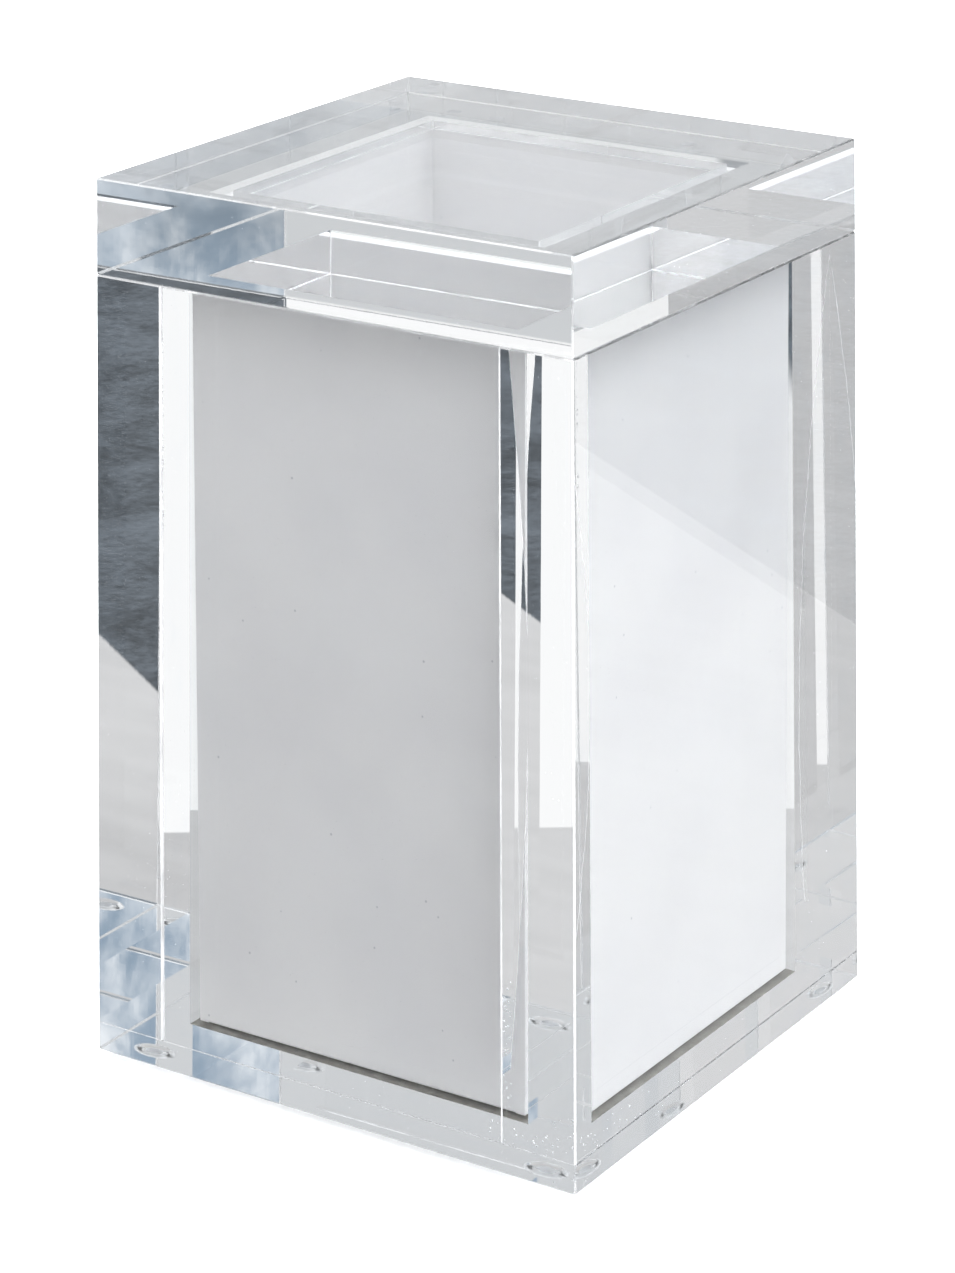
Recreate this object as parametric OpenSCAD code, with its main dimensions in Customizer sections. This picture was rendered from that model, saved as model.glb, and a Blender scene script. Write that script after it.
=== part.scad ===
// Square clear acrylic canister for cotton pads, with a white liner and a lift-off block lid.
// Sizes are in millimetres. Z is up, the front face looks along -Y, and the feet stand at Z 0.

/* [Canister] */
// Outside width, left to right
outer_width = 90; // [80:0.5:140]
// Outside depth, front to back
outer_depth = 90; // [80:0.5:140]
// Thickness of the clear base plate
base_thickness = 4.5; // [3:0.5:15]
// Height of the clear walls above the base plate
wall_height = 120; // [60:0.5:200]
// Thickness of the clear walls
wall_thickness = 13; // [6:0.1:15]
// Polished bevel on the outer edges of the canister and of the lid
edge_bevel = 0.25; // [0.1:0.05:1.5]

/* [White liner] */
// Thickness of the four white liner panels
liner_thickness = 2; // [1:0.1:4]
// Air gap between the liner's rim and the clear walls
liner_gap = 0.3; // [0.1:0.05:1]
// How much further each side of the liner stands in at its foot
liner_lean = 0.8; // [0:0.1:2]
// Thickness of the white floor panel
floor_thickness = 2; // [1.5:0.1:5]
// Lift of the liner panels above the base plate, less than the floor's thickness
shadow_gap = 0.5; // [0.2:0.1:1.4]
// Drop of the liner's rim below the top of the clear walls
rim_recess = 1.1; // [0.5:0.1:3]

/* [Lid] */
// Thickness of the lid's upper block
lid_thickness = 15.5; // [6:0.5:25]
// Depth of the plug that hangs into the liner
plug_depth = 7.3; // [4:0.1:15]
// Gap between the plug and the liner on each side
plug_clearance = 0.4; // [0.2:0.05:1.5]

/* [Feet] */
// Diameter of the stick-on feet
foot_diameter = 8; // [5:0.5:12]
// Height of the stick-on feet
foot_height = 1.2; // [0.8:0.1:4]
// Diameter of the flat underside of each domed foot
foot_flat = 5; // [3:0.5:8]
// Distance from the outside faces to the middle of each foot
foot_inset = 8; // [6:0.5:15]

/* [Hidden] */
$fn = 64;
cut_margin = 1;
dome_steps = 6;
base_bottom = foot_height;
base_top = base_bottom + base_thickness;
wall_top = base_top + wall_height;
lid_top = wall_top + lid_thickness;
inner_width = outer_width - 2 * wall_thickness;
inner_depth = outer_depth - 2 * wall_thickness;
floor_top = base_top + floor_thickness;
liner_bottom = base_top + shadow_gap;
liner_top = wall_top - rim_recess;
rim_width = inner_width - 2 * liner_gap;
rim_depth = inner_depth - 2 * liner_gap;
plug_width = rim_width - 2 * liner_thickness - 2 * plug_clearance;
plug_length = rim_depth - 2 * liner_thickness - 2 * plug_clearance;
foot_x = outer_width / 2 - foot_inset;
foot_y = outer_depth / 2 - foot_inset;
acrylic = [0.86, 0.9, 0.92, 0.35];
white = [0.95, 0.95, 0.96];

// Rectangle centred on the origin with its four corners cut by the bevel
module bevelled_rectangle(width, height, bevel) {
    x = width / 2;
    y = height / 2;
    polygon([
        [-x + bevel, -y], [x - bevel, -y], [x, -y + bevel], [x, y - bevel],
        [x - bevel, y], [-x + bevel, y], [-x, y - bevel], [-x, -y + bevel]
    ]);
}

// Block on the Z axis with all twelve edges bevelled
module bevelled_block(width, depth, low, high, bevel) {
    height = high - low;
    translate([0, 0, (low + high) / 2])
        intersection() {
            translate([0, 0, -height / 2])
                linear_extrude(height) bevelled_rectangle(width, depth, bevel);
            rotate([90, 0, 0]) translate([0, 0, -depth / 2])
                linear_extrude(depth) bevelled_rectangle(width, height, bevel);
            rotate([90, 0, 90]) translate([0, 0, -width / 2])
                linear_extrude(width) bevelled_rectangle(depth, height, bevel);
        }
}

// The canister's outside form, from which the base plate and the walls are cut
module canister_form() {
    bevelled_block(outer_width, outer_depth, base_bottom, wall_top, edge_bevel);
}

// Upright panel standing on Z low, with its near left corner at x and y
module panel(x, y, width, depth, low, height) {
    translate([x, y, low]) cube([width, depth, height]);
}

module base_plate() {
    color(acrylic)
        intersection() {
            canister_form();
            panel(-outer_width / 2 - cut_margin, -outer_depth / 2 - cut_margin,
                outer_width + 2 * cut_margin, outer_depth + 2 * cut_margin,
                base_bottom - cut_margin, base_thickness + cut_margin);
        }
}

// Front and back walls stand between the side walls
module wall_front() {
    color(acrylic)
        intersection() {
            canister_form();
            panel(-inner_width / 2, -outer_depth / 2 - cut_margin,
                inner_width, wall_thickness + cut_margin, base_top, wall_height + cut_margin);
        }
}

module wall_back() {
    mirror([0, 1, 0]) wall_front();
}

// Side walls run the full depth, so their polished ends show on the front and back faces
module wall_left() {
    color(acrylic)
        intersection() {
            canister_form();
            panel(-outer_width / 2 - cut_margin, -outer_depth / 2 - cut_margin,
                wall_thickness + cut_margin, outer_depth + 2 * cut_margin,
                base_top, wall_height + cut_margin);
        }
}

module wall_right() {
    mirror([1, 0, 0]) wall_left();
}

// How far the liner's sides stand in at height z, nothing at the rim and the whole lean at the foot
function inset_at(z) = liner_lean * (liner_top - z) / (liner_top - liner_bottom);

// Leaning outline from Z low to high, near and far being distances from the middle at the rim
function leaning(near, far, low, high) = [
    [-far + inset_at(low), low], [-near + inset_at(low), low],
    [-near + inset_at(high), high], [-far + inset_at(high), high]
];

// Both leaning sides with everything between them
function between_sides(half, low, high) = [
    [-half + inset_at(low), low], [half - inset_at(low), low],
    [half - inset_at(high), high], [-half + inset_at(high), high]
];

// Extrudes an outline drawn in X and Z along Y, over the given length about the middle
module along_y(length) {
    rotate([90, 0, 0]) translate([0, 0, -length / 2]) linear_extrude(length) children();
}

// Extrudes an outline drawn in Y and Z along X, over the given length about the middle
module along_x(length) {
    rotate([90, 0, 90]) translate([0, 0, -length / 2]) linear_extrude(length) children();
}

// The floor panel lies on the base plate, and the liner panels are bonded round its edge
module liner_floor() {
    color(white)
        intersection() {
            along_y(outer_depth)
                polygon(between_sides(rim_width / 2 - liner_thickness, base_top, floor_top));
            along_x(outer_width)
                polygon(between_sides(rim_depth / 2 - liner_thickness, base_top, floor_top));
        }
}

// The front and back panels fit between the side panels
module liner_front() {
    color(white)
        intersection() {
            along_x(outer_width)
                polygon(leaning(rim_depth / 2 - liner_thickness, rim_depth / 2, liner_bottom, liner_top));
            along_y(outer_depth)
                polygon(between_sides(rim_width / 2 - liner_thickness, liner_bottom, liner_top));
        }
}

module liner_back() {
    mirror([0, 1, 0]) liner_front();
}

module liner_left() {
    color(white)
        intersection() {
            along_y(outer_depth)
                polygon(leaning(rim_width / 2 - liner_thickness, rim_width / 2, liner_bottom, liner_top));
            along_x(outer_width)
                polygon(between_sides(rim_depth / 2, liner_bottom, liner_top));
        }
}

module liner_right() {
    mirror([1, 0, 0]) liner_left();
}

// The lid's upper block lies on top of the clear walls
module lid_block() {
    color(acrylic)
        bevelled_block(outer_width, outer_depth, wall_top, lid_top, edge_bevel);
}

// The plug is bonded under the block and centres the lid in the liner
module lid_plug() {
    color(acrylic)
        panel(-plug_width / 2, -plug_length / 2, plug_width, plug_length,
            wall_top - plug_depth, plug_depth);
}

// Low domed foot under the base plate, resting on its flat underside
module foot(x, y) {
    flat = foot_flat / 2;
    dome = foot_diameter / 2 - flat;
    color([0.88, 0.9, 0.9, 0.5])
        translate([x, y, 0])
            rotate_extrude()
                polygon(concat(
                    [[0, 0]],
                    [for (turn = [0:90 / dome_steps:90])
                        [flat + dome * sin(turn), foot_height * (1 - cos(turn))]],
                    [[0, foot_height]]
                ));
}

module foot_front_left() { foot(-foot_x, -foot_y); }
module foot_front_right() { foot(foot_x, -foot_y); }
module foot_back_left() { foot(-foot_x, foot_y); }
module foot_back_right() { foot(foot_x, foot_y); }

base_plate();
wall_front();
wall_back();
wall_left();
wall_right();
liner_floor();
liner_front();
liner_back();
liner_left();
liner_right();
lid_block();
lid_plug();
foot_front_left();
foot_front_right();
foot_back_left();
foot_back_right();
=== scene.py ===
import math

import bmesh
import bpy
from mathutils import Matrix, Vector


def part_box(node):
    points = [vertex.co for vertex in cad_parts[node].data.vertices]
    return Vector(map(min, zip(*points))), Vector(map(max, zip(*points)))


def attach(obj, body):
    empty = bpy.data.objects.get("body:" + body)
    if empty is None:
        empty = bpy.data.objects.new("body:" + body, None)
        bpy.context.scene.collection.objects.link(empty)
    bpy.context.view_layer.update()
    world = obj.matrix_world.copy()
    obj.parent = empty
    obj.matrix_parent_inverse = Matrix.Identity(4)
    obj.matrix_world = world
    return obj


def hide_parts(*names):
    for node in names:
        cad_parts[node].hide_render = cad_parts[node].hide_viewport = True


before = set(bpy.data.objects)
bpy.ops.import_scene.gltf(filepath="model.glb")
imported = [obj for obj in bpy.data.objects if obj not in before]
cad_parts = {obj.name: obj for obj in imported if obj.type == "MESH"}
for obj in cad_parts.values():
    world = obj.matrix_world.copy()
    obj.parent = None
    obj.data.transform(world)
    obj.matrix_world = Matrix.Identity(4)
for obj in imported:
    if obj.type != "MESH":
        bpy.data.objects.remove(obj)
scene = bpy.context.scene
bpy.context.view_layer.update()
print("frame loaded")

mm = 0.001

# Camera. The photograph's uprights are parallel, so the picture plane stands upright
# while the line of sight slopes down, as on a view camera.
cameraSetup = {
    "place": (0.37216, -0.57505, 0.30238),  # metres, in the part's frame
    "right": (0.836845, 0.547432, -0.003090),  # along the picture's width
    "upright": (0.002586, 0.001691, 0.999995),  # along its height
    "sight": (-0.514141, 0.791592, -0.330214),  # through its middle
    "lens": 125.28,  # millimetres
    "sensor": 36.0,
    "nearest": 0.02,  # metres
    "farthest": 60.0,
}


def makeCamera(setup):
    data = bpy.data.cameras.new("photoCamera")
    data.lens = setup["lens"]
    data.sensor_width = setup["sensor"]
    data.clip_start = setup["nearest"]
    data.clip_end = setup["farthest"]
    camera = bpy.data.objects.new("photoCamera", data)
    scene.collection.objects.link(camera)
    mount = bpy.data.objects.new("cameraMount", None)
    scene.collection.objects.link(mount)
    camera.parent = mount
    right = Vector(setup["right"]).normalized()
    sight = Vector(setup["sight"]).normalized()
    upright = Vector(setup["upright"]).normalized()
    turned = Matrix((right, upright, -sight)).transposed().to_4x4()
    camera.matrix_parent_inverse = Matrix.Translation(setup["place"]) @ turned
    scene.camera = camera


makeCamera(cameraSetup)
print("camera placed")


# Node helpers


def newMaterial(name):
    material = bpy.data.materials.new(name)
    material.use_nodes = True
    tree = material.node_tree
    tree.nodes.clear()
    output = tree.nodes.new("ShaderNodeOutputMaterial")
    return material, tree, output


def addNode(tree, kind, **values):
    node = tree.nodes.new(kind)
    for name, value in values.items():
        setattr(node, name, value)
    return node


def feed(tree, socket, value):
    # links a socket, or sets a plain value
    if isinstance(value, bpy.types.NodeSocket):
        tree.links.new(value, socket)
    else:
        socket.default_value = value


def calc(tree, operation, *values):
    node = addNode(tree, "ShaderNodeMath", operation=operation)
    for socket, value in zip(node.inputs, values):
        feed(tree, socket, value)
    return node.outputs[0]


def vectorCalc(tree, operation, *values):
    node = addNode(tree, "ShaderNodeVectorMath", operation=operation)
    sockets = (node.inputs[0], node.inputs["Scale"]) if operation == "SCALE" else node.inputs
    for socket, value in zip(sockets, values):
        feed(tree, socket, value)
    return node.outputs["Value" if operation in ("DOT_PRODUCT", "LENGTH", "DISTANCE") else "Vector"]


def ramp(tree, value, start, end, low=0.0, high=1.0):
    # smooth step from low to high while value goes from start to end
    node = addNode(tree, "ShaderNodeMapRange", interpolation_type="SMOOTHSTEP")
    for socket, setting in zip(node.inputs, (value, start, end, low, high)):
        feed(tree, socket, setting)
    return node.outputs[0]


def mixColor(tree, factor, first, second):
    node = addNode(tree, "ShaderNodeMix", data_type="RGBA")
    for index, setting in ((0, factor), (6, first), (7, second)):
        feed(tree, node.inputs[index], setting)
    return node.outputs[2]


def mixShader(tree, factor, first, second):
    node = addNode(tree, "ShaderNodeMixShader")
    for socket, setting in zip(node.inputs, (factor, first, second)):
        feed(tree, socket, setting)
    return node.outputs[0]


def place(tree):
    return addNode(tree, "ShaderNodeTexCoord").outputs["Object"]


def axes(tree, vector):
    node = addNode(tree, "ShaderNodeSeparateXYZ")
    feed(tree, node.inputs[0], vector)
    return node.outputs


def noise(tree, vector, size, detail=3.0, roughness=0.5, distortion=0.0):
    # noise whose features are about size across
    node = addNode(tree, "ShaderNodeTexNoise")
    feed(tree, node.inputs["Vector"], vector)
    node.inputs["Scale"].default_value = 1.0 / size
    node.inputs["Detail"].default_value = detail
    node.inputs["Roughness"].default_value = roughness
    node.inputs["Distortion"].default_value = distortion
    return node.outputs["Fac"]


def stretched(tree, vector, scale):
    return vectorCalc(tree, "MULTIPLY", vector, scale)


# Clear acrylic: clean and glassy, with a little dust and faint wiping marks

clearLook = {
    "tint": (0.985, 0.995, 1.0, 1.0),
    "cloud": (0.975, 0.988, 0.997, 1.0),  # tint of the faintly cloudy patches
    "ior": 1.49,
    "roughness": 0.0,
    "dustSpacing": 1.1 * mm,
    "dustAndShadeMottleSize": 0.055,  # part of the spacing
    "dustPatch": 14 * mm,
    "dustColor": (0.75, 0.77, 0.8, 1.0),
    "cloudSize": 22 * mm,
    "markSpacing": 2.2 * mm,
    "markStrength": 0.02,
    "markDepth": 0.02 * mm,
}


def dustMask(tree, where, look):
    specks = addNode(tree, "ShaderNodeTexVoronoi")
    feed(tree, specks.inputs["Vector"], where)
    specks.inputs["Scale"].default_value = 1.0 / look["dustSpacing"]
    near = ramp(tree, specks.outputs["Distance"], look["dustAndShadeMottleSize"], look["dustAndShadeMottleSize"] * 0.6)
    patches = ramp(tree, noise(tree, where, look["dustPatch"]), 0.45, 0.65)
    return calc(tree, "MULTIPLY", near, patches)


def clearShader(tree, look):
    where = place(tree)
    shader = addNode(tree, "ShaderNodeBsdfPrincipled")
    cloud = ramp(tree, noise(tree, where, look["cloudSize"], 4.0), 0.4, 0.7)
    feed(tree, shader.inputs["Base Color"], mixColor(tree, cloud, look["tint"], look["cloud"]))
    shader.inputs["IOR"].default_value = look["ior"]
    shader.inputs["Transmission Weight"].default_value = 1.0
    shader.inputs["Roughness"].default_value = look["roughness"]
    marks = noise(tree, stretched(tree, where, (1.0, 1.0, 0.12)), look["markSpacing"], 2.0)
    bump = addNode(tree, "ShaderNodeBump")
    bump.inputs["Strength"].default_value = look["markStrength"]
    bump.inputs["Distance"].default_value = look["markDepth"]
    feed(tree, bump.inputs["Height"], marks)
    feed(tree, shader.inputs["Normal"], bump.outputs[0])
    dust = addNode(tree, "ShaderNodeBsdfDiffuse")
    dust.inputs["Color"].default_value = look["dustColor"]
    return mixShader(tree, dustMask(tree, where, look), shader.outputs[0], dust.outputs[0])


def makeClearAcrylic():
    material, tree, output = newMaterial("clearAcrylic")
    feed(tree, output.inputs[0], clearShader(tree, clearLook))
    return material


# Edges: polished ones scatter a little, frosted ones shine as fine white lines

polishedLook = {
    "tint": (0.99, 0.995, 1.0, 1.0),
    "color": (0.93, 0.95, 0.97, 1.0),  # of what scatters
    "roughness": 0.06,
    "haze": 0.06,  # part of the light that scatters
    "unevenness": 6 * mm,
}
frostedLook = {**polishedLook, "color": (0.97, 0.98, 0.99, 1.0), "roughness": 0.15, "haze": 0.55}


def makeEdge(name, look):
    material, tree, output = newMaterial(name)
    where = place(tree)
    shader = addNode(tree, "ShaderNodeBsdfPrincipled")
    shader.inputs["Base Color"].default_value = look["tint"]
    shader.inputs["IOR"].default_value = clearLook["ior"]
    shader.inputs["Transmission Weight"].default_value = 1.0
    shader.inputs["Roughness"].default_value = look["roughness"]
    haze = addNode(tree, "ShaderNodeBsdfDiffuse")
    haze.inputs["Color"].default_value = look["color"]
    uneven = noise(tree, where, look["unevenness"], 3.0)
    uneven = ramp(tree, uneven, 0.3, 0.7, look["haze"] * 0.7, look["haze"] * 1.2)
    feed(tree, output.inputs[0], mixShader(tree, uneven, shader.outputs[0], haze.outputs[0]))
    return material


# Cement: the joints are filled, so light goes straight on. Where the cement didn't reach,
# a film of air shows as a bright mirror with a fine rim.

cementLook = {"color": (1.0, 1.0, 1.0, 1.0), "faint": (0.985, 0.99, 0.995, 1.0), "patch": 5 * mm}

frontJointLook = {
    "middle": 70.0 * mm,  # height at which the film is deepest
    "deepest": 13.5 * mm,
    "loss": 9.2 * mm,  # how much shallower it is at the reach
    "reach": 54.0 * mm,
    "power": 1.6,
    "lowest": 16.0 * mm,
    "rim": 0.12 * mm,
    "rimStrength": 0.45,
    "rimColor": (0.9, 0.92, 0.93, 1.0),
    "mirror": (0.99, 0.99, 0.99, 1.0),
    "wobble": 0.5 * mm,
    "wobbleSize": 7 * mm,
}

backJointLook = {
    **frontJointLook,
    "middle": 45.0 * mm,
    "deepest": 11.3 * mm,
    "loss": 7.5 * mm,
    "reach": 62.0 * mm,
    "power": 2.0,
}


def throughJoint(tree):
    look = cementLook
    clear = addNode(tree, "ShaderNodeBsdfTransparent")
    faint = ramp(tree, noise(tree, place(tree), look["patch"]), 0.5, 0.8)
    feed(tree, clear.inputs["Color"], mixColor(tree, faint, look["color"], look["faint"]))
    return clear.outputs[0]


def makeCement():
    material, tree, output = newMaterial("acrylicCement")
    feed(tree, output.inputs[0], throughJoint(tree))
    return material


def makeOpenJoint(name, outsideY, look):
    # the film runs inward from the wall's outside face, at the given Y
    material, tree, output = newMaterial(name)
    where = place(tree)
    x, y, z = axes(tree, where)
    depth = calc(tree, "ABSOLUTE", calc(tree, "SUBTRACT", y, outsideY))
    wobble = calc(tree, "SUBTRACT", noise(tree, where, look["wobbleSize"]), 0.5)
    depth = calc(tree, "ADD", depth, calc(tree, "MULTIPLY", wobble, look["wobble"] * 2))
    away = calc(tree, "ABSOLUTE", calc(tree, "SUBTRACT", z, look["middle"]))
    away = calc(tree, "POWER", calc(tree, "DIVIDE", away, look["reach"]), look["power"])
    edgeAt = calc(tree, "SUBTRACT", look["deepest"], calc(tree, "MULTIPLY", away, look["loss"]))
    over = calc(tree, "SUBTRACT", edgeAt, depth)  # positive inside the film
    above = calc(tree, "GREATER_THAN", z, look["lowest"])
    film = calc(tree, "MULTIPLY", calc(tree, "GREATER_THAN", over, 0.0), above)
    # the film is air whichever side of the joint the light comes from
    back = addNode(tree, "ShaderNodeNewGeometry").outputs["Backfacing"]
    ior = clearLook["ior"]
    fresnel = addNode(tree, "ShaderNodeFresnel")
    feed(tree, fresnel.inputs["IOR"], calc(tree, "ADD", 1 / ior, calc(tree, "MULTIPLY", back, ior - 1 / ior)))
    mirror = addNode(tree, "ShaderNodeBsdfGlossy")
    mirror.inputs["Roughness"].default_value = 0.0
    mirror.inputs["Color"].default_value = look["mirror"]
    through = throughJoint(tree)
    filmed = mixShader(tree, fresnel.outputs[0], through, mirror.outputs[0])
    onFilm = mixShader(tree, film, through, filmed)
    rim = addNode(tree, "ShaderNodeBsdfDiffuse")
    rim.inputs["Color"].default_value = look["rimColor"]
    onRim = calc(tree, "LESS_THAN", calc(tree, "ABSOLUTE", over), look["rim"])
    onRim = calc(tree, "MULTIPLY", calc(tree, "MULTIPLY", onRim, look["rimStrength"]), above)
    feed(tree, output.inputs[0], mixShader(tree, onRim, onFilm, rim.outputs[0]))
    return material


footBondLook = {
    "ring": (0.93, 0.95, 0.96, 1.0),  # pale rim of the adhesive
    "ringWidth": 0.6 * mm,
    "ringStrength": 0.25,
    "middle": (0.20, 0.21, 0.23, 1.0),  # painted shade in the middle of each foot
    "middleRadius": 1.9 * mm,
    "middleStrength": 0.7,
    "wobble": 0.5 * mm,
    "wobbleSize": 2 * mm,
}


def makeFootBond(centres, radius, look):
    # underside of the base plate: polished, and wetted by the feet where they stick, with painted shade in
    # the middle of each foot
    material, tree, output = newMaterial("baseUnderside")
    where = place(tree)
    x, y, z = axes(tree, where)
    away = None
    for cx, cy in centres:
        dx, dy = calc(tree, "SUBTRACT", x, cx), calc(tree, "SUBTRACT", y, cy)
        squares = calc(tree, "ADD", calc(tree, "MULTIPLY", dx, dx), calc(tree, "MULTIPLY", dy, dy))
        one = calc(tree, "SQRT", squares)
        away = one if away is None else calc(tree, "MINIMUM", away, one)
    wobble = calc(tree, "SUBTRACT", noise(tree, where, look["wobbleSize"]), 0.5)
    away = calc(tree, "ADD", away, calc(tree, "MULTIPLY", wobble, look["wobble"]))
    held = calc(tree, "LESS_THAN", away, radius)
    ring = ramp(tree, away, radius - look["ringWidth"] * 1.4, radius - look["ringWidth"] * 0.6)
    ring = calc(tree, "MULTIPLY", look["ringStrength"], ring)
    # the darker middle of each foot is painted shade
    middleShade = ramp(tree, away, look["middleRadius"], look["middleRadius"] * 0.7)
    middleShade = calc(tree, "MULTIPLY", look["middleStrength"], middleShade)
    pale = addNode(tree, "ShaderNodeBsdfDiffuse")
    feed(tree, pale.inputs["Color"], mixColor(tree, middleShade, look["ring"], look["middle"]))
    stuck = mixShader(tree, calc(tree, "MAXIMUM", ring, middleShade), throughJoint(tree), pale.outputs[0])
    feed(tree, output.inputs[0], mixShader(tree, held, clearShader(tree, clearLook), stuck))
    return material


# White acrylic of the liner

whiteLook = {
    "color": (0.81, 0.80, 0.80, 1.0),
    "shade": (0.77, 0.76, 0.765, 1.0),  # faint clouding
    "speck": (0.55, 0.55, 0.57, 1.0),
    "roughness": 0.28,
    "cloudSize": 30 * mm,
    "speckSpacing": 5 * mm,
    "grain": 3 * mm,
    "grainStrength": 0.15,
    "grainDepth": 0.05 * mm,
}


def makeWhiteAcrylic():
    look = whiteLook
    material, tree, output = newMaterial("whiteAcrylic")
    where = place(tree)
    shader = addNode(tree, "ShaderNodeBsdfPrincipled")
    cloud = ramp(tree, noise(tree, where, look["cloudSize"], 4.0), 0.35, 0.7)
    color = mixColor(tree, cloud, look["color"], look["shade"])
    specks = addNode(tree, "ShaderNodeTexVoronoi")
    feed(tree, specks.inputs["Vector"], where)
    specks.inputs["Scale"].default_value = 1 / look["speckSpacing"]
    spot = ramp(tree, specks.outputs["Distance"], 0.05, 0.03)
    feed(tree, shader.inputs["Base Color"], mixColor(tree, spot, color, look["speck"]))
    shader.inputs["Roughness"].default_value = look["roughness"]
    bump = addNode(tree, "ShaderNodeBump")
    bump.inputs["Strength"].default_value = look["grainStrength"]
    bump.inputs["Distance"].default_value = look["grainDepth"]
    feed(tree, bump.inputs["Height"], noise(tree, where, look["grain"], 3.0))
    feed(tree, shader.inputs["Normal"], bump.outputs[0])
    feed(tree, output.inputs[0], shader.outputs[0])
    return material


# Top of the base plate outside the liner's floor: painted shade, dark with a lighter mottle, for the unlit
# gap under the panels

gapLook = {
    "color": (0.20, 0.19, 0.165, 1.0),
    # a lighter tone mottled through the painted shade
    "dust": (0.30, 0.29, 0.265, 1.0),
    "dustAndShadeMottleSize": 2 * mm,
    "roughness": 0.5,
}


def makeGapShade():
    material, tree, output = newMaterial("gapShade")
    shader = addNode(tree, "ShaderNodeBsdfPrincipled")
    # where the painted shade turns lighter
    shadeMottle = ramp(tree, noise(tree, place(tree), gapLook["dustAndShadeMottleSize"], 4.0), 0.4, 0.75)
    feed(tree, shader.inputs["Base Color"], mixColor(tree, shadeMottle, gapLook["color"], gapLook["dust"]))
    shader.inputs["Roughness"].default_value = gapLook["roughness"]
    # painted shade seen from the gap, clear from inside the plate
    back = addNode(tree, "ShaderNodeNewGeometry").outputs["Backfacing"]
    feed(tree, output.inputs[0], mixShader(tree, back, shader.outputs[0], clearShader(tree, clearLook)))
    return material


# Soft clear plastic of the feet

footLook = {
    "color": (0.95, 0.965, 0.975, 1.0),
    "shade": (0.88, 0.90, 0.92, 1.0),
    "shadeSize": 1.5 * mm,
    "roughness": 0.07,
    "ior": 1.49,
    "grain": 0.8 * mm,
    "grainStrength": 0.2,
    "grainDepth": 0.03 * mm,
}


def makeFootPlastic():
    look = footLook
    material, tree, output = newMaterial("softClear")
    where = place(tree)
    shader = addNode(tree, "ShaderNodeBsdfPrincipled")
    cloud = ramp(tree, noise(tree, where, look["shadeSize"], 3.0), 0.35, 0.7)
    feed(tree, shader.inputs["Base Color"], mixColor(tree, cloud, look["color"], look["shade"]))
    shader.inputs["Roughness"].default_value = look["roughness"]
    shader.inputs["Transmission Weight"].default_value = 1.0
    shader.inputs["IOR"].default_value = look["ior"]
    bump = addNode(tree, "ShaderNodeBump")
    bump.inputs["Strength"].default_value = look["grainStrength"]
    bump.inputs["Distance"].default_value = look["grainDepth"]
    feed(tree, bump.inputs["Height"], noise(tree, where, look["grain"]))
    feed(tree, shader.inputs["Normal"], bump.outputs[0])
    feed(tree, output.inputs[0], shader.outputs[0])
    return material


clearAcrylic = makeClearAcrylic()
polishedEdge = makeEdge("polishedEdge", polishedLook)
frostedEdge = makeEdge("frostedEdge", frostedLook)
cement = makeCement()
whiteAcrylic = makeWhiteAcrylic()
gapShade = makeGapShade()
footPlastic = makeFootPlastic()
print("materials made")


# Solids cut from a block by planes, each plane a point and an outward normal

tiny = 1e-7  # metres, what counts as lying in a plane
startReach = 0.2  # metres, half the block that is cut
# Bevels, each a width and a kind: "polished" is clear, "frosted" is hazy and shines white
edge = (0.25 * mm, "polished")  # outer edges of the base plate and the lid
wallEdge = (0.25 * mm, "frosted")  # upright outer edges of the walls
groove = (0.15 * mm, "frosted")  # upright joint lines
wideGroove = (0.35 * mm, "frosted")  # the front face's left joint line
fineGroove = (0.08 * mm, "polished")  # joint line round the base plate
lined = ("front", "right")  # sides whose joint lines show, the others being polished flush


def clipFaces(faces, plane, tag):
    # keeps what lies behind the plane, and closes the cut with one face
    point, normal = plane
    kept, rim = [], []
    for corners, faceTag in faces:
        side = [(c - point).dot(normal) for c in corners]
        if max(side) <= tiny:
            kept.append((corners, faceTag))
            continue
        new = []
        for i, corner in enumerate(corners):
            after = (i + 1) % len(corners)
            if side[i] <= tiny:
                new.append(corner)
            if (side[i] < -tiny and side[after] > tiny) or (side[i] > tiny and side[after] < -tiny):
                new.append(corner.lerp(corners[after], side[i] / (side[i] - side[after])))
        if len(new) >= 3:
            kept.append((new, faceTag))
        rim += [c for c in new if abs((c - point).dot(normal)) <= tiny]
    loop = []
    for corner in rim:
        if all((corner - other).length > 3 * tiny for other in loop):
            loop.append(corner)
    if len(loop) >= 3:
        middle = sum(loop, Vector()) / len(loop)
        first = (loop[0] - middle).normalized()
        second = normal.cross(first)
        loop.sort(key=lambda c: math.atan2((c - middle).dot(second), (c - middle).dot(first)))
        kept.append((loop, tag))
    return kept


sideNormals = {
    "left": Vector((-1, 0, 0)),
    "right": Vector((1, 0, 0)),
    "front": Vector((0, -1, 0)),
    "back": Vector((0, 1, 0)),
    "under": Vector((0, 0, -1)),
    "top": Vector((0, 0, 1)),
}
around = ["left", "right", "front", "back"]
uprights = [("left", "front"), ("right", "front"), ("left", "back"), ("right", "back")]


def boxPlanes(low, high):
    planes = {}
    for side, normal in sideNormals.items():
        planes[side] = (Vector(high) if sum(normal) > 0 else Vector(low), normal)
    return planes


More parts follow.
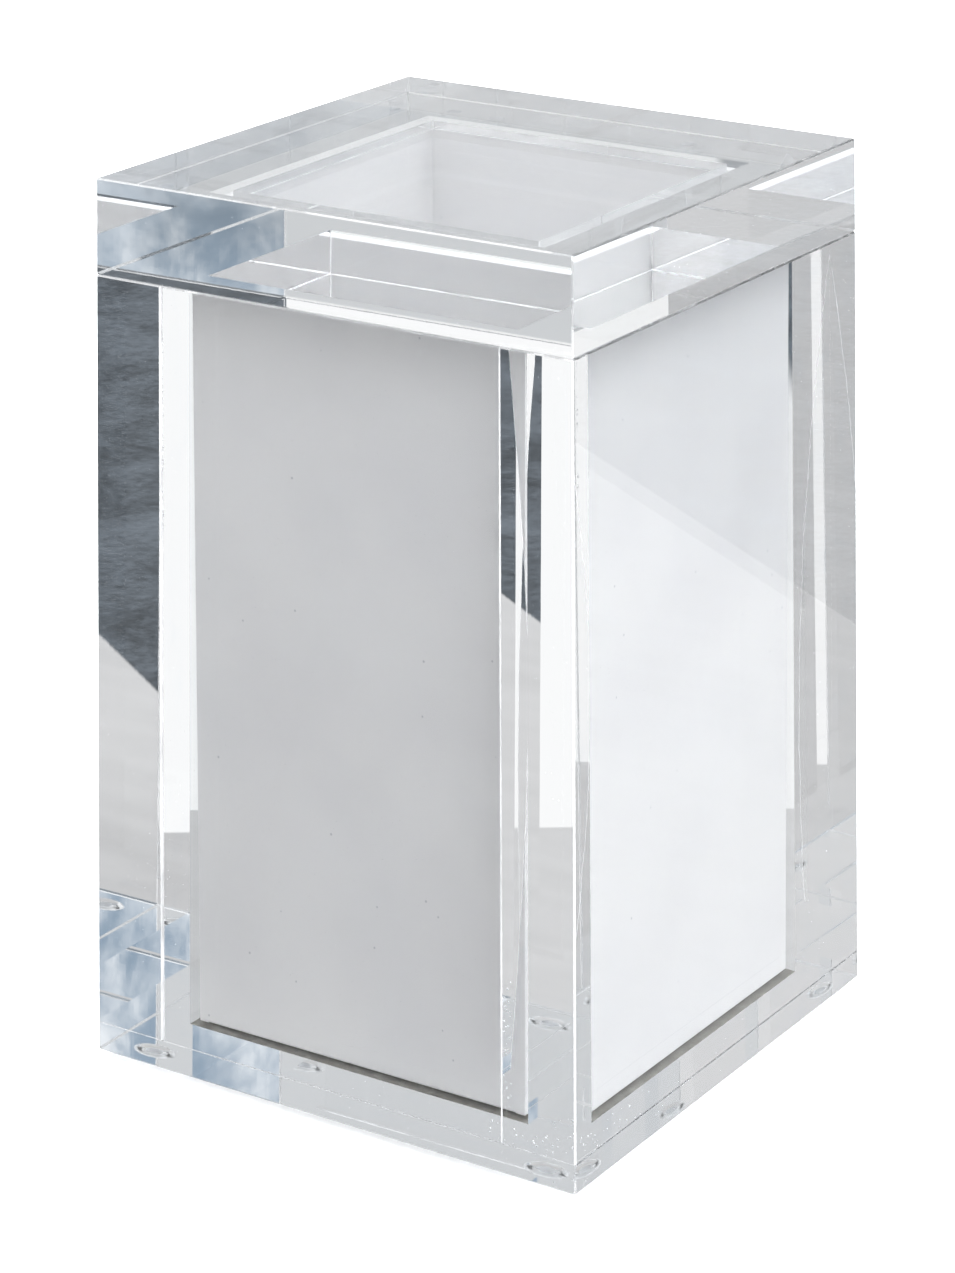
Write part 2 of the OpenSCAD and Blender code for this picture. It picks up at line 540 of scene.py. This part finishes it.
def cutSolid(planes, bevels):
    # the space behind all the planes, with the edges named in bevels taken off
    corners = [Vector((x, y, z)) * startReach for x in (-1, 1) for y in (-1, 1) for z in (-1, 1)]
    start = {"left": (0, 1, 3, 2), "right": (4, 6, 7, 5), "front": (0, 4, 5, 1),
        "back": (2, 3, 7, 6), "under": (0, 2, 6, 4), "top": (1, 5, 7, 3)}
    faces = [([corners[i] for i in order], side) for side, order in start.items()]
    for side, plane in planes.items():
        faces = [f for f in clipFaces(faces, plane, side + "New") if f[1] != side]
        faces = [(c, side if tag == side + "New" else tag) for c, tag in faces]
    for sideA, sideB, (width, kind) in bevels:
        (pointA, a), (pointB, b) = planes[sideA], planes[sideB]
        along = a.cross(b).normalized()
        across = a.cross(along)
        corner = pointA + across * ((pointB - pointA).dot(b) / across.dot(b))
        faces = clipFaces(faces, (corner - (a + b) * (width / 2), (a + b).normalized()), kind)
    return faces


def splitFaces(faces, side, axis, value):
    # parts the faces of a side along a plane square to the axis, keeping both halves
    out = []
    point, normal = Vector(), Vector()
    point[axis], normal[axis] = value, 1.0
    for corners, tag in faces:
        if tag != side:
            out.append((corners, tag))
            continue
        for way in (1, -1):
            half = clipFaces([(corners, tag)], (point, normal * way), "none")
            out += [f for f in half if f[1] == tag and len(f[0]) >= 3]
    return out


def addPiece(name, faces, materials, pick, body, node, slot):
    mesh = bmesh.new()
    if slot == "clear_acrylic":
        materials = materials + [frostedEdge, polishedEdge]
    for corners, tag in faces:
        face = mesh.faces.new([mesh.verts.new(c) for c in corners])
        if tag in ("polished", "frosted"):
            # the white liner has one material all over
            face.material_index = max(len(materials) - (1 if tag == "polished" else 2), 0)
        else:
            face.material_index = pick(sum(corners, Vector()) / len(corners), tag)
    bmesh.ops.remove_doubles(mesh, verts=mesh.verts, dist=5 * tiny)
    data = bpy.data.meshes.new(name)
    mesh.to_mesh(data)
    mesh.free()
    for material in materials:
        data.materials.append(material)
    piece = bpy.data.objects.new(name, data)
    scene.collection.objects.link(piece)
    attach(piece, body)
    if node:
        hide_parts(node)
    return piece


outerLow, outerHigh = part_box("base_plate")
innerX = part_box("wall_front")[1].x  # half the clear opening
innerY = -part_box("wall_front")[1].y
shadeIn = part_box("liner_floor")[1].x  # where the painted shade of the unlit gap under the liner's panels begins
plugLow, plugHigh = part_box("lid_plug")
airFilm = 0.04 * mm  # under the lid and under the liner's floor
jointGap = 0.004 * mm  # keeps two faces of a joint from lying in one plane
footNodes = ["foot_front_left", "foot_front_right", "foot_back_left", "foot_back_right"]
footBoxes = [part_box(node) for node in footNodes]
footCentres = [((low.x + high.x) / 2, (low.y + high.y) / 2) for low, high in footBoxes]
footRadius = (footBoxes[0][1].x - footBoxes[0][0].x) / 2
footDryRim = 0.15 * mm  # part of the foot's top that doesn't stick
frontFilm = makeOpenJoint("openJointFront", outerLow.y, frontJointLook)
backFilm = makeOpenJoint("openJointBack", outerHigh.y, backJointLook)
underside = makeFootBond(footCentres, footRadius - footDryRim, footBondLook)


def makeBase():
    bevels = [(a, b, edge) for a, b in uprights]
    bevels += [("under", s, edge) for s in around]
    bevels += [("top", s, fineGroove) for s in lined]
    faces = cutSolid(boxPlanes(outerLow, outerHigh), bevels)
    for half in (innerX, shadeIn):
        for axis, value in ((0, -half), (0, half), (1, -half), (1, half)):
            faces = splitFaces(faces, "top", axis, value)

    def pick(middle, tag):
        away = max(abs(middle.x), abs(middle.y))
        if tag == "under":
            return 2
        if tag != "top":
            return 0
        if away > innerX:
            return 1
        # under the liner's panels the top gets the painted shade of the gap
        return 3 if away > shadeIn else 0

    addPiece("basePlate", faces, [clearAcrylic, cement, underside, gapShade], pick,
        "canister", "base_plate", "clear_acrylic")


def makeCrossWall(name, node, outside):
    low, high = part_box(node)
    low.x, high.x = low.x + jointGap, high.x - jointGap
    high.z -= airFilm
    bevels = [("top", outside, edge)]
    if outside in lined:
        bevels += [("under", outside, fineGroove), (outside, "left", wideGroove), (outside, "right", groove)]
    faces = cutSolid(boxPlanes(low, high), bevels)
    joined = ("left", "right", "under")
    addPiece(name, faces, [clearAcrylic, cement], lambda middle, tag: 1 if tag in joined else 0,
        "canister", node, "clear_acrylic")


def makeSideWall(name, node, outside, inside, films):
    # films are the materials of its joints with the front and the back wall
    low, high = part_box(node)
    high.z -= airFilm
    bevels = [(outside, "front", wallEdge), (outside, "back", wallEdge), ("top", outside, edge)]
    bevels += [("top", "front", edge), ("top", "back", edge)]
    bevels += [(inside, "front", groove if outside in lined else wideGroove)]
    bevels += [("under", s, fineGroove) for s in (outside, "front") if s in lined]
    faces = cutSolid(boxPlanes(low, high), bevels)
    for value in (-innerY, innerY):
        faces = splitFaces(faces, inside, 1, value)

    def pick(middle, tag):
        if tag == inside and abs(middle.y) > innerY:
            return 2 if middle.y < 0 else 3
        return 1 if tag == "under" else 0

    addPiece(name, faces, [clearAcrylic, cement] + films, pick, "canister", node, "clear_acrylic")


def makeLid():
    low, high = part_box("lid_block")
    bevels = [(a, b, edge) for a, b in uprights]
    bevels += [(level, s, edge) for level in ("under", "top") for s in around]
    faces = cutSolid(boxPlanes(low, high), bevels)
    for axis, value in ((0, plugLow.x), (0, plugHigh.x), (1, plugLow.y), (1, plugHigh.y)):
        faces = splitFaces(faces, "under", axis, value)

    def pick(middle, tag):
        held = abs(middle.x) < plugHigh.x and abs(middle.y) < plugHigh.y
        return 1 if tag == "under" and held else 0

    addPiece("lidBlock", faces, [clearAcrylic, cement], pick, "lid", "lid_block", "clear_acrylic")
    bevels = [(a, b, groove) for a, b in uprights] + [("under", s, groove) for s in around]
    faces = cutSolid(boxPlanes(plugLow, plugHigh), bevels)
    addPiece("lidPlug", faces, [clearAcrylic, cement], lambda middle, tag: 1 if tag == "top" else 0,
        "lid", "lid_plug", "clear_acrylic")


linerSetup = {"thickness": 2.0 * mm, "lean": 0.8 * mm, "edge": (0.2 * mm, "polished")}


def makeLiner(setup):
    # the panels lean in towards the foot, square to nothing but the rim
    low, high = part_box("liner_left")
    rimX, rimY = -low.x, high.y
    foot, rim = low.z, high.z
    slope = setup["lean"] / (rim - foot)

    def leaning(side, half):
        # plane through the rim at that distance from the middle, on the given side
        normal = sideNormals[side]
        return normal * half + Vector((0, 0, rim)), (normal + Vector((0, 0, -slope))).normalized()

    def turned(plane):
        return plane[0], -plane[1]

    inX, inY = rimX - setup["thickness"], rimY - setup["thickness"]
    level = {
        "under": (Vector((0, 0, foot)), sideNormals["under"]),
        "top": (Vector((0, 0, rim)), sideNormals["top"]),
    }
    sides = {
        "left": {"left": leaning("left", rimX), "right": turned(leaning("left", inX)),
            "front": leaning("front", rimY), "back": leaning("back", rimY)},
        "right": {"right": leaning("right", rimX), "left": turned(leaning("right", inX)),
            "front": leaning("front", rimY), "back": leaning("back", rimY)},
        "front": {"front": leaning("front", rimY), "back": turned(leaning("front", inY)),
            "left": leaning("left", inX), "right": leaning("right", inX)},
        "back": {"back": leaning("back", rimY), "front": turned(leaning("back", inY)),
            "left": leaning("left", inX), "right": leaning("right", inX)},
    }
    for side, planes in sides.items():
        opposite = {"left": "right", "right": "left", "front": "back", "back": "front"}[side]
        bevels = [(end, s, setup["edge"]) for end in ("top", "under") for s in (side, opposite)]
        if side in ("left", "right"):
            bevels += [(side, "front", setup["edge"]), (side, "back", setup["edge"])]
        faces = cutSolid({**planes, **level}, bevels)
        addPiece("liner" + side.capitalize(), faces, [whiteAcrylic], lambda middle, tag: 0,
            "canister", "liner_" + side, "white_acrylic")
    low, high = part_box("liner_floor")
    low.z += airFilm
    planes = {"left": leaning("left", inX), "right": leaning("right", inX),
        "front": leaning("front", inY), "back": leaning("back", inY),
        "under": (low, sideNormals["under"]), "top": (high, sideNormals["top"])}
    faces = cutSolid(planes, [("under", s, groove) for s in around])
    addPiece("linerFloor", faces, [whiteAcrylic], lambda middle, tag: 0,
        "canister", "liner_floor", "white_acrylic")


footSetup = {"flat": 2.5 * mm, "gap": 0.01 * mm, "steps": 48, "curve": 8}


def makeFeet(setup):
    steps, curve = setup["steps"], setup["curve"]
    for node, (low, high), (cx, cy) in zip(footNodes, footBoxes, footCentres):
        tall = high.z - setup["gap"] - low.z
        dome = footRadius - setup["flat"]
        turns = [math.pi / 2 * i / curve for i in range(curve + 1)]
        rings = [(setup["flat"] + dome * math.sin(t), low.z + tall * (1 - math.cos(t))) for t in turns]
        mesh = bmesh.new()
        loops = []
        for radius, z in rings:
            loops.append([mesh.verts.new((cx + radius * math.cos(math.tau * i / steps),
                cy + radius * math.sin(math.tau * i / steps), z)) for i in range(steps)])
        for lower, upper in zip(loops, loops[1:]):
            for i in range(steps):
                mesh.faces.new((lower[i], lower[(i + 1) % steps], upper[(i + 1) % steps], upper[i]))
        for face in mesh.faces:
            face.smooth = True
        mesh.faces.new(loops[0][::-1])
        mesh.faces.new(loops[-1]).material_index = 1
        data = bpy.data.meshes.new(node)
        mesh.to_mesh(data)
        mesh.free()
        for material in (footPlastic, cement):
            data.materials.append(material)
        words = node.split("_")
        piece = bpy.data.objects.new(words[0] + "".join(w.capitalize() for w in words[1:]), data)
        scene.collection.objects.link(piece)
        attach(piece, "canister")
        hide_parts(node)


# Bubbles that stayed in the cement, mostly round the front corner

bubbleSetup = {
    "radius": 0.17 * mm,  # of the largest
    "smallest": 0.25,  # part of the largest
    "seed": 7,
    "margin": 0.7 * mm,  # from the outside faces
    "color": (0.97, 0.98, 0.99, 1.0),
    "shade": (0.84, 0.86, 0.88, 1.0),
    "shadeSize": 0.4 * mm,
    "roughness": 0.25,
    "rounds": 2,  # subdivisions of each ball
    "clearOf": 3 * mm,  # from the opening
    "perArea": mm * mm,  # the crowds below are numbers of bubbles in this area
    "frontTop": (26 * mm, 0.16),  # where they begin along the front wall's top, and the crowd
    "rightTop": (-18 * mm, 0.10),  # where they end along the right wall's top, and the crowd
    "leftJoint": (85 * mm, 118 * mm, 0.3 * mm, 5.0),  # low end, high end, width and crowd
    "rightJoint": (10 * mm, 30 * mm, 4 * mm, 0.5),
}


def makeBubbleMaterial(setup):
    material, tree, output = newMaterial("airBubble")
    shader = addNode(tree, "ShaderNodeBsdfPrincipled")
    uneven = ramp(tree, noise(tree, place(tree), setup["shadeSize"]), 0.35, 0.65)
    feed(tree, shader.inputs["Base Color"], mixColor(tree, uneven, setup["color"], setup["shade"]))
    shader.inputs["Roughness"].default_value = setup["roughness"]
    feed(tree, output.inputs[0], shader.outputs[0])
    return material


def makeBubbleTree(setup):
    # scatters small balls over the input faces, as densely as their "crowd" says
    tree = bpy.data.node_groups.new("jointBubbles", "GeometryNodeTree")
    sockets = {}
    for name, kind in (("Geometry", "Geometry"), ("Bubble Radius", "Float"), ("Smallest Part", "Float"),
            ("Seed", "Int"), ("Material", "Material")):
        sockets[name] = tree.interface.new_socket(name, in_out="INPUT", socket_type="NodeSocket" + kind)
    tree.interface.new_socket("Geometry", in_out="OUTPUT", socket_type="NodeSocketGeometry")
    given = tree.nodes.new("NodeGroupInput").outputs
    crowd = addNode(tree, "GeometryNodeInputNamedAttribute", data_type="FLOAT")
    crowd.inputs["Name"].default_value = "crowd"
    spread = addNode(tree, "GeometryNodeDistributePointsOnFaces", distribute_method="RANDOM")
    feed(tree, spread.inputs["Mesh"], given["Geometry"])
    feed(tree, spread.inputs["Density"], crowd.outputs["Attribute"])
    feed(tree, spread.inputs["Seed"], given["Seed"])
    ball = addNode(tree, "GeometryNodeMeshIcoSphere")
    feed(tree, ball.inputs["Radius"], given["Bubble Radius"])
    ball.inputs["Subdivisions"].default_value = setup["rounds"]
    size = addNode(tree, "FunctionNodeRandomValue", data_type="FLOAT")
    feed(tree, size.inputs[2], given["Smallest Part"])
    size.inputs[3].default_value = 1.0
    feed(tree, size.inputs["Seed"], given["Seed"])
    balls = addNode(tree, "GeometryNodeInstanceOnPoints")
    feed(tree, balls.inputs["Points"], spread.outputs["Points"])
    feed(tree, balls.inputs["Instance"], ball.outputs["Mesh"])
    feed(tree, balls.inputs["Scale"], size.outputs[1])
    real = addNode(tree, "GeometryNodeRealizeInstances")
    feed(tree, real.inputs[0], balls.outputs[0])
    painted = addNode(tree, "GeometryNodeSetMaterial")
    feed(tree, painted.inputs["Geometry"], real.outputs[0])
    feed(tree, painted.inputs["Material"], given["Material"])
    feed(tree, tree.nodes.new("NodeGroupOutput").inputs[0], painted.outputs[0])
    return tree, sockets


def makeBubbles(setup):
    level, front, right = outerHigh.z, outerLow.y + setup["margin"], outerHigh.x - setup["margin"]
    openingX, openingY = innerX + setup["clearOf"], -innerY - setup["clearOf"]
    start, frontCrowd = setup["frontTop"]
    end, rightCrowd = setup["rightTop"]
    # near corner, far corner and crowd of each strip
    strips = [
        ((start, front, level), (right, openingY, level), frontCrowd),
        ((openingX, openingY, level), (right, end, level), rightCrowd),
    ]
    for x, joint in ((-innerX, "leftJoint"), (innerX, "rightJoint")):
        low, high, width, crowd = setup[joint]
        strips.append(((x, front, low), (x, front + width, high), crowd))
    corners, faces = [], []
    for near, far, crowd in strips:
        i, j = [axis for axis in range(3) if near[axis] != far[axis]]
        for a, b in ((near, near), (far, near), (far, far), (near, far)):
            corner = list(near)
            corner[i], corner[j] = a[i], b[j]
            corners.append(corner)
        faces.append(list(range(len(corners) - 4, len(corners))))
    guide = bpy.data.meshes.new("bubbleGuide")
    guide.from_pydata(corners, [], faces)
    crowds = guide.attributes.new("crowd", "FLOAT", "FACE")
    for slot, strip in zip(crowds.data, strips):
        slot.value = strip[2] / setup["perArea"]
    host = bpy.data.objects.new("bubbleGuide", guide)
    scene.collection.objects.link(host)
    tree, sockets = makeBubbleTree(setup)
    modifier = host.modifiers.new("bubbles", "NODES")
    modifier.node_group = tree
    modifier[sockets["Bubble Radius"].identifier] = setup["radius"]
    modifier[sockets["Smallest Part"].identifier] = setup["smallest"]
    modifier[sockets["Seed"].identifier] = setup["seed"]
    modifier[sockets["Material"].identifier] = makeBubbleMaterial(setup)
    done = host.evaluated_get(bpy.context.evaluated_depsgraph_get())
    mesh = bpy.data.meshes.new_from_object(done)
    host.modifiers.remove(modifier)
    bpy.data.objects.remove(host)
    mesh.name = "jointBubbles"
    piece = bpy.data.objects.new("jointBubbles", mesh)
    scene.collection.objects.link(piece)
    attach(piece, "canister")
    print("bubbles scattered, faces:", len(mesh.polygons))


makeBase()
makeCrossWall("wallFront", "wall_front", "front")
makeCrossWall("wallBack", "wall_back", "back")
makeSideWall("wallLeft", "wall_left", "left", "right", [cement, cement])
makeSideWall("wallRight", "wall_right", "right", "left", [frontFilm, backFilm])
makeLid()
makeLiner(linerSetup)
makeFeet(footSetup)
makeBubbles(bubbleSetup)
print("pieces made")


# Studio: the floor is white to the camera. Through the acrylic it is a pale table that ends
# behind the object, with a white sheet behind it on the left and a dark screen on the right.

floorLook = {
    "matt": (0.9, 0.9, 0.9, 1.0),
    "table": (0.57, 0.57, 0.575, 1.0),
    "tableRight": (0.68, 0.68, 0.685, 1.0),  # towards the right, where more light falls
    "tableTurn": (-10 * mm, 70 * mm),  # where the one becomes the other
    "grain": 40 * mm,
    "grainStretch": (1.0, 5.0, 1.0),
    "sheet": (1.0, 1.0, 1.0, 1.0),
    "dark": (0.045, 0.055, 0.065, 1.0),
    "darkLight": (0.17, 0.20, 0.235, 1.0),
    "mottle": (26 * mm, 2.5 * mm),  # coarse and fine
    "along": (-0.54743, 0.83685, 0.0),  # the line of sight, level
    "across": (0.83685, 0.54743, 0.0),
    "tableEdge": 97.3 * mm,  # from the middle, along the line of sight
    "tableSoft": 0.5 * mm,
    "sheetSide": 75.0 * mm,  # across the line of sight, where the sheet ends and the screen begins
    "sheetSoft": 2 * mm,
    "radius": 2.2,  # metres
    "level": -0.2 * mm,
    "steps": 64,
}


def makeFloor(look):
    material, tree, output = newMaterial("floorAndTable")
    where = place(tree)
    distance = vectorCalc(tree, "DOT_PRODUCT", where, look["along"])
    sideways = vectorCalc(tree, "DOT_PRODUCT", where, look["across"])
    grain = noise(tree, stretched(tree, where, look["grainStretch"]), look["grain"], 4.0)
    grain = ramp(tree, grain, 0.3, 0.7, 0.96, 1.04)
    table = mixColor(tree, ramp(tree, sideways, *look["tableTurn"]), look["table"], look["tableRight"])
    table = vectorCalc(tree, "SCALE", table, grain)
    coarse, fine = look["mottle"]
    mottled = calc(tree, "ADD", calc(tree, "MULTIPLY", noise(tree, where, coarse, 4.0, 0.6, 0.6), 0.6),
        calc(tree, "MULTIPLY", noise(tree, where, fine, 4.0, 0.7), 0.4))
    dark = mixColor(tree, ramp(tree, mottled, 0.34, 0.68), look["dark"], look["darkLight"])
    side, soft = look["sheetSide"], look["sheetSoft"]
    beyond = mixColor(tree, ramp(tree, sideways, side - soft, side + soft), look["sheet"], dark)
    end, soft = look["tableEdge"], look["tableSoft"]
    past = ramp(tree, distance, end - soft, end + soft)
    glow = addNode(tree, "ShaderNodeEmission")
    feed(tree, glow.inputs["Color"], mixColor(tree, past, table, beyond))
    matt = addNode(tree, "ShaderNodeBsdfDiffuse")
    matt.inputs["Color"].default_value = look["matt"]
    seen = addNode(tree, "ShaderNodeLightPath").outputs["Is Camera Ray"]
    feed(tree, output.inputs[0], mixShader(tree, seen, glow.outputs[0], matt.outputs[0]))
    data = bpy.data.meshes.new("floor")
    radius, steps = look["radius"], look["steps"]
    turns = [math.tau * i / steps for i in range(steps)]
    ring = [(radius * math.cos(turn), radius * math.sin(turn), look["level"]) for turn in turns]
    data.from_pydata(ring, [], [list(range(steps))])
    data.materials.append(material)
    floor = bpy.data.objects.new("floor", data)
    scene.collection.objects.link(floor)


# The room gives the light and what the outside faces mirror

roomLook = {
    "color": (0.62, 0.635, 0.65, 1.0),
    "front": (0.70, 0.70, 0.705, 1.0),
    "frontWay": (180, 10),  # azimuth and elevation in degrees; azimuth 0 is +Y and 90 is +X
    "side": (1.04, 1.05, 1.06, 1.0),
    "sideWay": (100, 25),
    "frontSpread": (0.2, 0.9),  # cosines of the angles where each light starts and is full
    "sideSpread": (0.55, 0.9),
    "soft": 0.42,  # extra light that only the white panels and the floor gather: all round
    "softRight": 2.2,  # from a large soft light on the right
    "softRightWay": (90, 15),
    "softRightSpread": (0.35, 0.95),
    "softAbove": 8.0,  # and from above
    "softAboveWay": (0, 90),
    "softAboveSpread": (0.55, 0.95),
    "radius": 2.4,  # metres
}

# A mottled screen behind the object on the right, dark below and blue above
screenLook = {
    "dark": ((0.13, 0.165, 0.20, 1.0), (0.60, 0.66, 0.72, 1.0)),
    "blue": ((0.27, 0.36, 0.46, 1.0), (0.86, 0.90, 0.94, 1.0)),
    "clouds": 0.09,
    "cloudStretch": (1.0, 1.0, 1.6),
    "streaks": 0.022,
    "streakStretch": (1.0, 1.0, 0.35),
    "turn": (15, 19),  # degrees of elevation where dark becomes blue
    "leftEnd": (18, 24),  # degrees of azimuth
    "rightEnd": (66, 58),
    "upperEnd": (34, 26),  # degrees of elevation
}


def makeRoom(look, behind):
    material, tree, output = newMaterial("roomLight")
    way = vectorCalc(tree, "NORMALIZE", place(tree))
    x, y, z = axes(tree, way)

    def towards(azimuth, elevation):
        # how far a direction points towards this one
        a, e = math.radians(azimuth), math.radians(elevation)
        return vectorCalc(tree, "DOT_PRODUCT", way,
            (math.sin(a) * math.cos(e), math.cos(a) * math.cos(e), math.sin(e)))

    def heights(degrees):
        return [math.sin(math.radians(d)) for d in degrees]

    ahead = ramp(tree, towards(*look["frontWay"]), *look["frontSpread"])
    color = mixColor(tree, ahead, look["color"], look["front"])
    beside = ramp(tree, towards(*look["sideWay"]), *look["sideSpread"])
    color = mixColor(tree, beside, color, look["side"])
    clouds = noise(tree, stretched(tree, way, behind["cloudStretch"]), behind["clouds"], 5.0, 0.6, 0.5)
    screen = mixColor(tree, ramp(tree, clouds, 0.42, 0.62), *behind["dark"])
    streaks = noise(tree, stretched(tree, way, behind["streakStretch"]), behind["streaks"], 5.0, 0.65, 0.4)
    streaks = calc(tree, "ADD", calc(tree, "MULTIPLY", clouds, 0.45), calc(tree, "MULTIPLY", streaks, 0.55))
    blue = mixColor(tree, ramp(tree, streaks, 0.41, 0.60), *behind["blue"])
    screen = mixColor(tree, ramp(tree, z, *heights(behind["turn"])), screen, blue)
    flat = calc(tree, "ARCTAN2", x, y)
    left, right = [ramp(tree, flat, *map(math.radians, behind[end])) for end in ("leftEnd", "rightEnd")]
    inside = calc(tree, "MULTIPLY", left, right)
    inside = calc(tree, "MULTIPLY", inside, ramp(tree, z, *heights(behind["upperEnd"])))
    color = mixColor(tree, inside, color, screen)
    fromRight = ramp(tree, towards(*look["softRightWay"]), *look["softRightSpread"])
    fromAbove = ramp(tree, towards(*look["softAboveWay"]), *look["softAboveSpread"])
    gathered = calc(tree, "ADD", look["soft"], calc(tree, "MULTIPLY", look["softRight"], fromRight))
    gathered = calc(tree, "ADD", gathered, calc(tree, "MULTIPLY", look["softAbove"], fromAbove))
    bounced = calc(tree, "GREATER_THAN", addNode(tree, "ShaderNodeLightPath").outputs["Diffuse Depth"], 0.5)
    glow = addNode(tree, "ShaderNodeEmission")
    feed(tree, glow.inputs["Color"], color)
    feed(tree, glow.inputs["Strength"], calc(tree, "ADD", 1.0, calc(tree, "MULTIPLY", bounced, gathered)))
    feed(tree, output.inputs[0], glow.outputs[0])
    material.cycles.emission_sampling = "NONE"
    mesh = bmesh.new()
    bmesh.ops.create_uvsphere(mesh, u_segments=64, v_segments=32, radius=look["radius"])
    data = bpy.data.meshes.new("room")
    mesh.to_mesh(data)
    mesh.free()
    data.materials.append(material)
    room = bpy.data.objects.new("room", data)
    scene.collection.objects.link(room)
    room.visible_camera = False
    room.visible_shadow = False


lampSetup = {"strength": 1.6, "size": 30, "tilt": (12, 10)}  # size and tilt in degrees


def makeLamp(setup):
    data = bpy.data.lights.new("overhead", "SUN")
    data.energy = setup["strength"]
    data.angle = math.radians(setup["size"])
    lamp = bpy.data.objects.new("overhead", data)
    lamp.rotation_euler = (*map(math.radians, setup["tilt"]), 0)
    scene.collection.objects.link(lamp)
    lamp.visible_glossy = False
    lamp.visible_transmission = False


worldStrength = 0.7  # the world's light; the camera and mirrored or bent rays see it pure white


def makeWorld():
    world = bpy.data.worlds.new("studio")
    scene.world = world
    world.use_nodes = True
    tree = world.node_tree
    tree.nodes.clear()
    output = addNode(tree, "ShaderNodeOutputWorld")
    light = addNode(tree, "ShaderNodeBackground")
    path = addNode(tree, "ShaderNodeLightPath")
    seen = calc(tree, "ADD", path.outputs["Is Camera Ray"], path.outputs["Is Glossy Ray"])
    seen = calc(tree, "ADD", seen, path.outputs["Is Transmission Ray"])
    white = calc(tree, "MINIMUM", seen, 1.0)
    feed(tree, light.inputs["Color"], (1.0, 1.0, 1.0, 1.0))
    feed(tree, light.inputs["Strength"],
        calc(tree, "ADD", worldStrength, calc(tree, "MULTIPLY", white, 1 - worldStrength)))
    feed(tree, output.inputs[0], light.outputs[0])


makeFloor(floorLook)
makeRoom(roomLook, screenLook)
makeLamp(lampSetup)
makeWorld()
print("studio made")

scene.view_settings.view_transform = "Standard"
scene.cycles.max_bounces = 40
scene.cycles.glossy_bounces = 32
scene.cycles.transmission_bounces = 32
scene.cycles.transparent_max_bounces = 32
